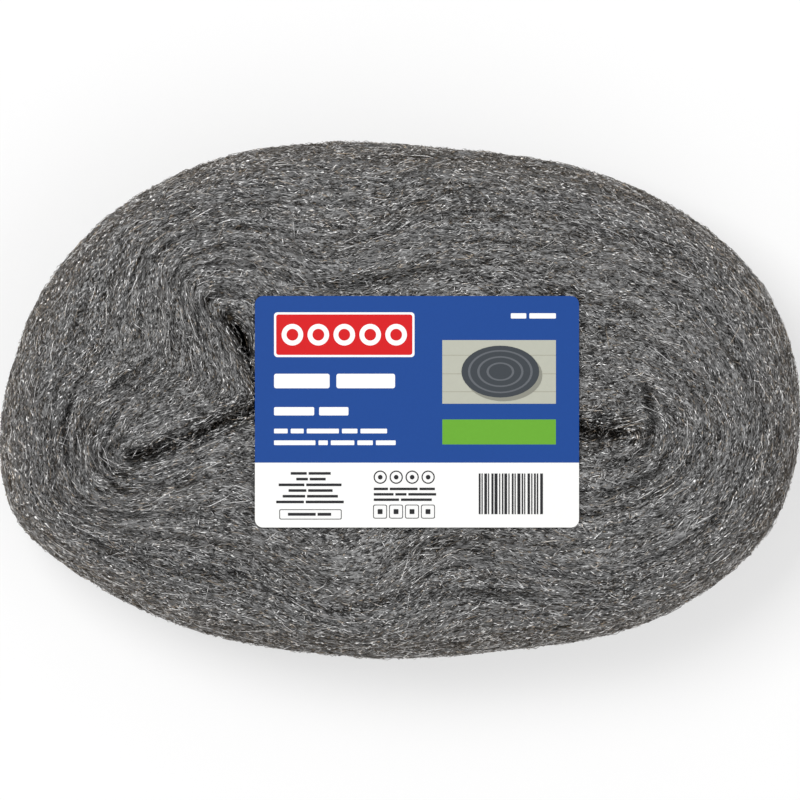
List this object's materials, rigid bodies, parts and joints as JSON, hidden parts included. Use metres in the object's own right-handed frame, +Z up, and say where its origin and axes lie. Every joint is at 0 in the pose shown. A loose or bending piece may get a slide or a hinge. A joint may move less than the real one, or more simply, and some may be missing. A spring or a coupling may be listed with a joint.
{
  "type": "steel wool hank with card label",
  "caption": "Oval wound hank of steel wool lying flat, its layers curling round pinched slots on both faces, with a rounded side and a flat rectangular card label on top.",
  "frame": {"origin": "under the middle of the hank's plan, on the surface that it lies on", "axes": "+X along the hank's length, +Y across its width, +Z up out of the labelled face"},
  "size_m": [0.261, 0.168, 0.0627],
  "materials": {
    "steel_wool": "fine fibres, dull grey with bright glints",
    "printed_card": "satin printed card, blue over white"
  },
  "bodies": {
    "root": {"wool_hank": "steel_wool", "label_card": "printed_card"}
  },
  "joints": []
}
